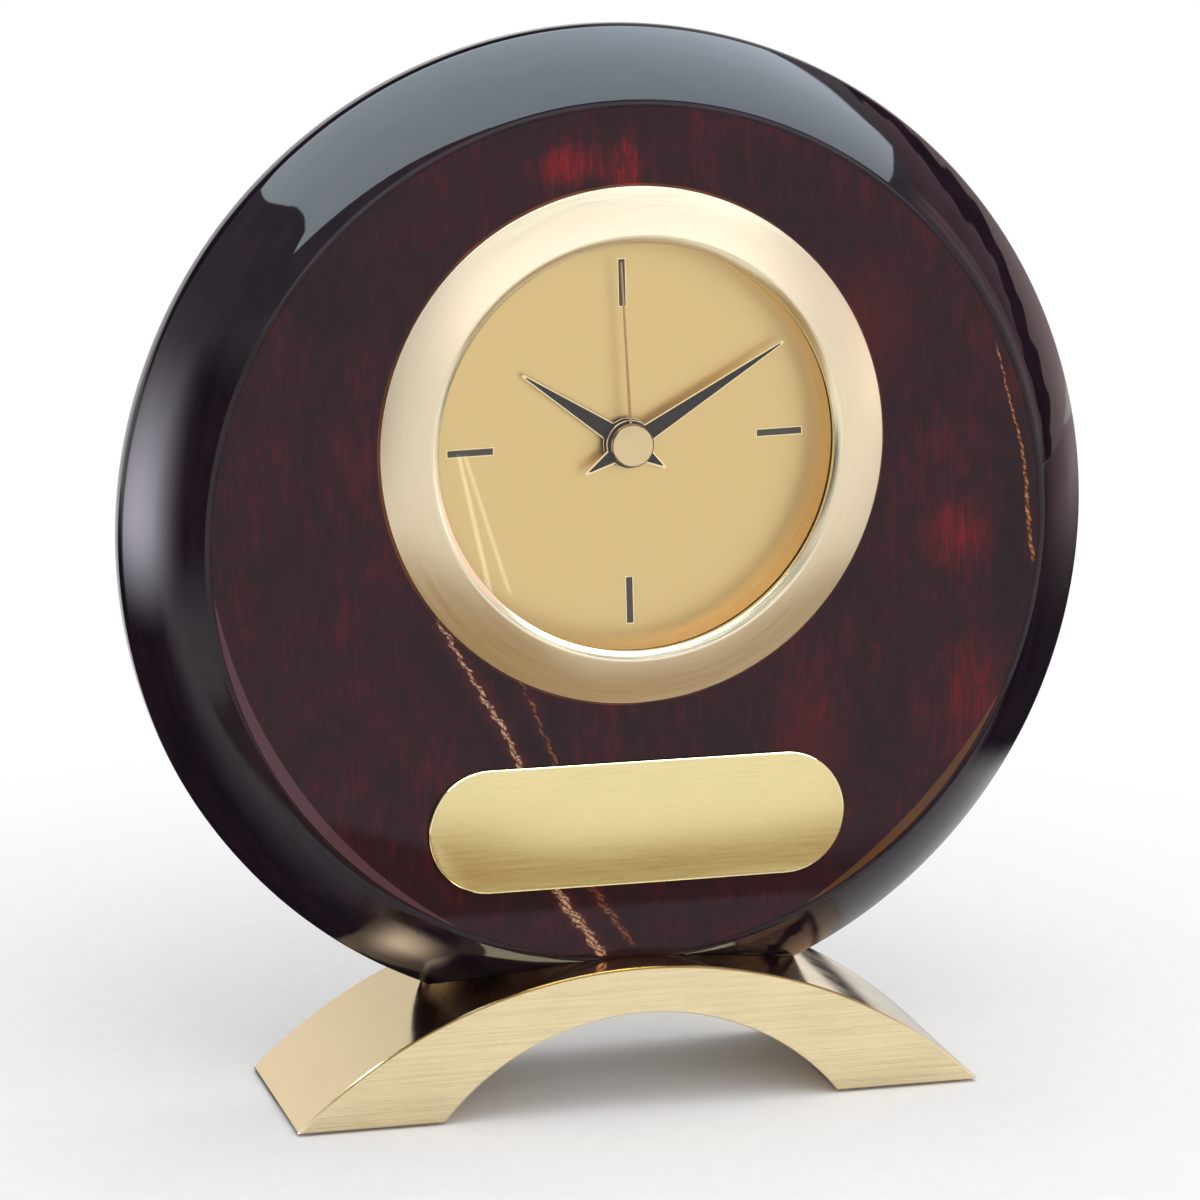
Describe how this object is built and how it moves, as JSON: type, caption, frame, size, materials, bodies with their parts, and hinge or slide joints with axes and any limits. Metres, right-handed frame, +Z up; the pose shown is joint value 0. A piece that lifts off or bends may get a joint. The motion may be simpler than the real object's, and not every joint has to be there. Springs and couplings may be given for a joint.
{
  "type": "desk clock",
  "caption": "Round bevelled wooden desk clock leaning back on a polished brass arch, with a push-in quartz insert, a gold dial, dagger hands and a blank engraving plate.",
  "frame": {"origin": "on the table, under the middle of the brass arch: centre of the width and depth, at the underside of the felt dots", "axes": "+Z up, +Y from the dial towards the back, +X to the right seen from the front"},
  "size_m": [0.165, 0.035, 0.1763],
  "materials": {
    "brass_arch": "mirror-polished top, horizontally brushed front",
    "felt": "felt",
    "steel": "zinc plated",
    "case_wood": "dark stained, deep polished lacquer",
    "face_wood": "figured rosewood under polished lacquer",
    "brass_plate": "satin",
    "adhesive": "double-sided film",
    "brass_bezel": "satin, brushed round the ring",
    "lens_glass": "clear mineral glass",
    "dial_gold": "satin champagne gold",
    "marker_paint": "dark paint with bright edges",
    "hand_paint": "dark paint with bright edges",
    "gilt": "polished",
    "case_plastic": "moulded",
    "band_rubber": "ribbed",
    "works_plastic": "moulded acetal",
    "pinion_brass": "cut",
    "board": "solder-masked board",
    "nickel": "nickel plated",
    "resin": "sealing resin",
    "enamelled_copper": "enamelled wire",
    "magnet": "sintered magnet",
    "cell_jacket": "bare jacket with a metal end"
  },
  "bodies": {
    "stand": {"base_arch": "brass_arch", "foot_pads": "felt", "base_screws": "steel", "base_washers": "steel", "case_body": "case_wood", "face_veneer": "face_wood", "name_plate": "brass_plate", "plate_adhesive": "adhesive"},
    "insert": {"bezel": "brass_bezel", "lens": "lens_glass", "dial_ring": "dial_gold", "dial": "dial_gold", "hour_markers": "marker_paint", "insert_case": "case_plastic", "grip_band": "band_rubber", "bridge_plate": "case_plastic", "bridge_screws": "steel", "back_cover": "case_plastic", "cover_screws": "steel", "circuit_board": "board", "quartz_crystal": "nickel", "driver_chip": "resin", "coil_bobbin": "works_plastic", "coil_winding": "enamelled_copper", "coil_core": "steel", "stator": "steel", "stator_screws": "steel", "contact_plate": "nickel", "contact_spring": "nickel"},
    "cell": {"battery": "cell_jacket"},
    "seconds": {"seconds_wheel": "works_plastic", "seconds_hand": "gilt", "hand_cap": "gilt"},
    "transfer": {"transfer_wheel": "works_plastic"},
    "rotor": {"rotor_magnet": "magnet", "rotor_arbor": "works_plastic"},
    "third": {"third_wheel": "works_plastic"},
    "centre": {"centre_wheel": "works_plastic"},
    "minute": {"cannon_pinion": "pinion_brass", "minute_hand": "hand_paint"},
    "motion": {"motion_wheel": "works_plastic"},
    "hour": {"hour_wheel": "works_plastic", "hour_hand": "hand_paint"},
    "knob": {"setting_knob": "works_plastic"}
  },
  "joints": [
    {"name": "insert_pull", "type": "slide", "parent": "stand", "child": "insert", "axis": [0, -0.9986, 0.0523], "range_m": [0, 0.03]},
    {"name": "cell_out", "type": "slide", "parent": "insert", "child": "cell", "axis": [0, 0.9986, -0.0523], "range_m": [0, 0.016]},
    {"name": "seconds_turn", "type": "hinge", "parent": "insert", "child": "seconds", "pos_m": [0, 0.00427, 0.10905], "axis": [0, 0.9986, -0.0523], "continuous": true},
    {"name": "transfer_turn", "type": "hinge", "parent": "insert", "child": "transfer", "pos_m": [-0.00019, 0.00471, 0.11743], "axis": [0, 0.9986, -0.0523], "continuous": true},
    {"name": "rotor_turn", "type": "hinge", "parent": "insert", "child": "rotor", "pos_m": [0.00283, 0.005, 0.12295], "axis": [0, 0.9986, -0.0523], "continuous": true},
    {"name": "third_turn", "type": "hinge", "parent": "insert", "child": "third", "pos_m": [-0.00825, 0.00426, 0.10886], "axis": [0, 0.9986, -0.0523], "continuous": true},
    {"name": "centre_turn", "type": "hinge", "parent": "insert", "child": "centre", "pos_m": [0, 0.00427, 0.10905], "axis": [0, 0.9986, -0.0523], "continuous": true},
    {"name": "minute_turn", "type": "hinge", "parent": "insert", "child": "minute", "pos_m": [0, 0.00427, 0.10905], "axis": [0, 0.9986, -0.0523], "continuous": true},
    {"name": "motion_turn", "type": "hinge", "parent": "insert", "child": "motion", "pos_m": [0.00769, 0.00451, 0.11371], "axis": [0, 0.9986, -0.0523], "continuous": true},
    {"name": "hour_turn", "type": "hinge", "parent": "insert", "child": "hour", "pos_m": [0, 0.00427, 0.10905], "axis": [0, 0.9986, -0.0523], "continuous": true},
    {"name": "knob_turn", "type": "hinge", "parent": "insert", "child": "knob", "pos_m": [0.01622, 0.00436, 0.11083], "axis": [0, 0.9986, -0.0523], "continuous": true}
  ],
  "couplings": [
    {"joint": "transfer_turn", "follows": "seconds_turn", "ratio": -5},
    {"joint": "rotor_turn", "follows": "seconds_turn", "ratio": 30},
    {"joint": "third_turn", "follows": "seconds_turn", "ratio": -0.13333},
    {"joint": "centre_turn", "follows": "seconds_turn", "ratio": 0.016667},
    {"joint": "motion_turn", "follows": "minute_turn", "ratio": -0.33333},
    {"joint": "hour_turn", "follows": "minute_turn", "ratio": 0.083333},
    {"joint": "knob_turn", "follows": "minute_turn", "ratio": 1}
  ]
}
